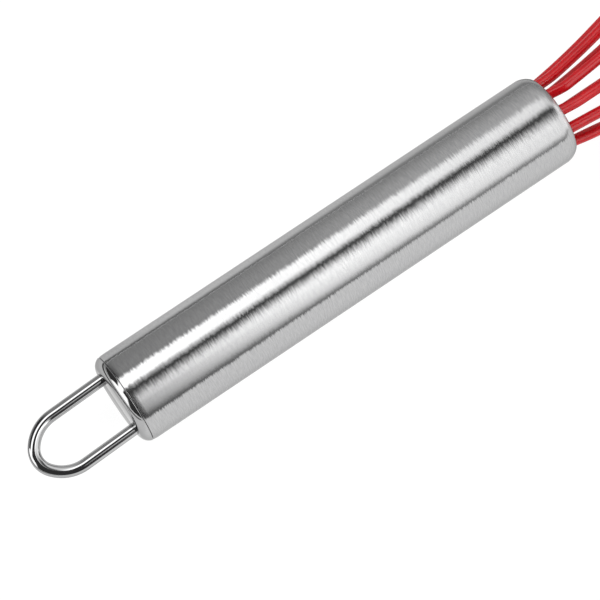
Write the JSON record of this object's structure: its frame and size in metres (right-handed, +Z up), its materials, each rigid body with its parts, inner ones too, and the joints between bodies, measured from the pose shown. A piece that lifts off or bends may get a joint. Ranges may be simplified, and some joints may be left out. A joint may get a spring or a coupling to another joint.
{
  "type": "balloon whisk",
  "caption": "Hand whisk lying on its side: a balloon of silicone-coated wire loops in the mouth of a brushed steel tube handle with a polished cap and a wire hanging loop.",
  "frame": {"origin": "centre of the footprint, on the surface the whisk lies on", "axes": "+Z up; +X horizontal, from the hanging loop's end towards the balloon's tip; the handle rises 4.0 degrees towards the balloon, because the whisk lies on two strands and its handle's end"},
  "size_m": [0.3092, 0.0608, 0.0585],
  "materials": {
    "brushed_steel": "brushed round the tube",
    "polished_steel": "polished",
    "spring_steel": "drawn wire",
    "weld": "matt weld",
    "red_silicone": "satin",
    "plug_plastic": "moulded",
    "resin": "cast"
  },
  "bodies": {
    "root": {"handle_tube": "brushed_steel", "end_cap": "polished_steel", "hanging_loop": "polished_steel", "loop_welds": "weld", "mouth_plug": "plug_plastic", "resin_potting": "resin", "core_wire_1": "spring_steel", "core_wire_2": "spring_steel", "core_wire_3": "spring_steel", "core_wire_4": "spring_steel", "core_wire_5": "spring_steel", "silicone_sleeve_1": "red_silicone", "silicone_sleeve_2": "red_silicone", "silicone_sleeve_3": "red_silicone", "silicone_sleeve_4": "red_silicone", "silicone_sleeve_5": "red_silicone"}
  },
  "joints": []
}
